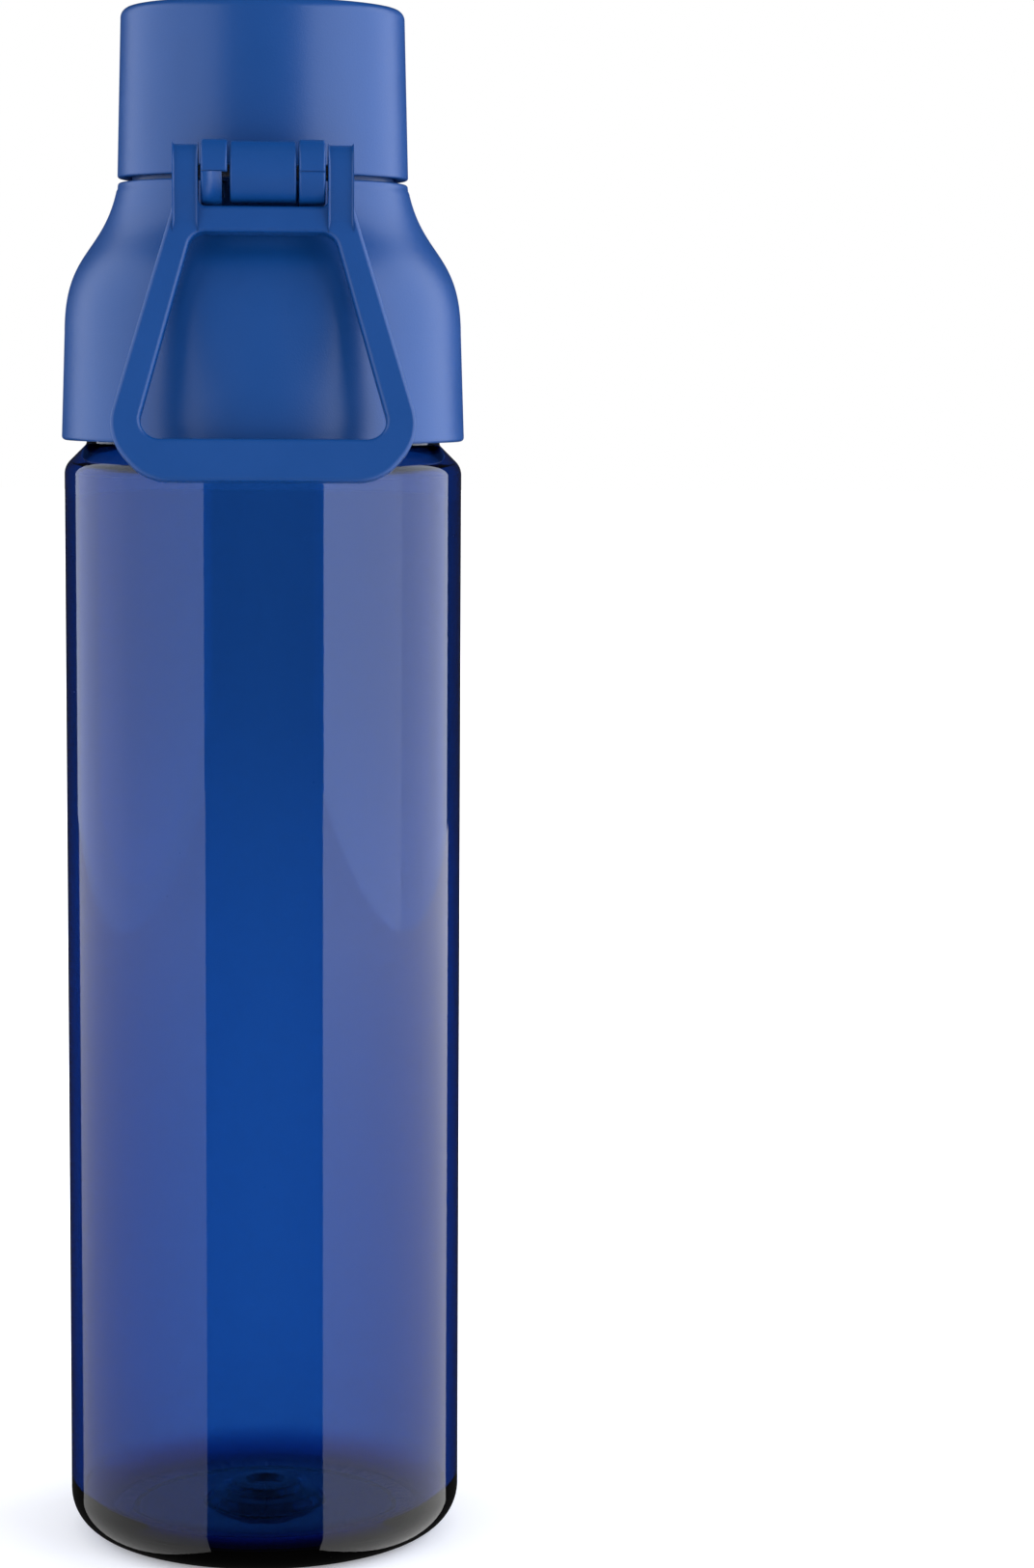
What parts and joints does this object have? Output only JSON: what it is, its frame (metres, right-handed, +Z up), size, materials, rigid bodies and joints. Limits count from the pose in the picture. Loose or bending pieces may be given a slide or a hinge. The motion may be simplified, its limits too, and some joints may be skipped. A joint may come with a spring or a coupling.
{
  "type": "flip-lid drink bottle",
  "caption": "Tall clear-tinted drink bottle with a screw-on collar, a push-button flip lid over a drinking spout, a swing-over wire lock and a hinged carry loop.",
  "frame": {"origin": "middle of the base's foot plane, on the bottle's own axis", "axes": "+Z up the bottle; -Y towards the push button and wire lock; +Y towards the lid's hinge and the carry loop"},
  "size_m": [0.0712, 0.0774, 0.2727],
  "materials": {
    "clear_blue": "clear blue-tinted moulded plastic with a high gloss",
    "matte_blue": "deep blue moulded plastic with a soft matte skin",
    "grey_silicone": "translucent grey silicone",
    "bright_wire": "polished round steel wire",
    "spring_steel": "drawn spring steel"
  },
  "bodies": {
    "bottle": {"bottle_body": "clear_blue"},
    "gasket_ring": {"collar_gasket": "grey_silicone"},
    "collar": {"collar_shell": "matte_blue", "hinge_pin": "spring_steel", "button_spring": "spring_steel"},
    "lid": {"lid_shell": "matte_blue", "lid_liner": "grey_silicone", "spout_seal": "grey_silicone", "torsion_spring": "spring_steel"},
    "handle": {"carry_handle": "matte_blue"},
    "button": {"push_button": "matte_blue"},
    "bail": {"wire_bail": "bright_wire"}
  },
  "joints": [
    {"name": "collar_lift", "type": "slide", "parent": "bottle", "child": "gasket_ring", "axis": [0, 0, 1], "range_m": [0, 0.0063]},
    {"name": "collar_turn", "type": "hinge", "parent": "gasket_ring", "child": "collar", "pos_m": [0, 0, 0.2], "axis": [0, 0, 1], "range_deg": [0, 450]},
    {"name": "lid_hinge", "type": "hinge", "parent": "collar", "child": "lid", "pos_m": [0, 0.032, 0.2428], "axis": [-1, 0, 0], "range_deg": [0, 110], "deforming": ["torsion_spring"]},
    {"name": "handle_hinge", "type": "hinge", "parent": "collar", "child": "handle", "pos_m": [0, 0.032, 0.2428], "axis": [-1, 0, 0], "range_deg": [-190, 0]},
    {"name": "bail_hinge", "type": "hinge", "parent": "collar", "child": "bail", "pos_m": [0, -0.0256, 0.2376], "axis": [-1, 0, 0], "range_deg": [0, 142]},
    {"name": "button_press", "type": "hinge", "parent": "collar", "child": "button", "pos_m": [0, -0.0256, 0.2376], "axis": [-1, 0, 0], "range_deg": [0, 8.5], "stiffness_Nm_per_rad": 0.02, "springref_deg": -5.73, "deforming": ["button_spring"]}
  ],
  "couplings": [
    {"joint": "collar_lift", "follows": "collar_turn", "m_per_rad": 0.00079577}
  ]
}
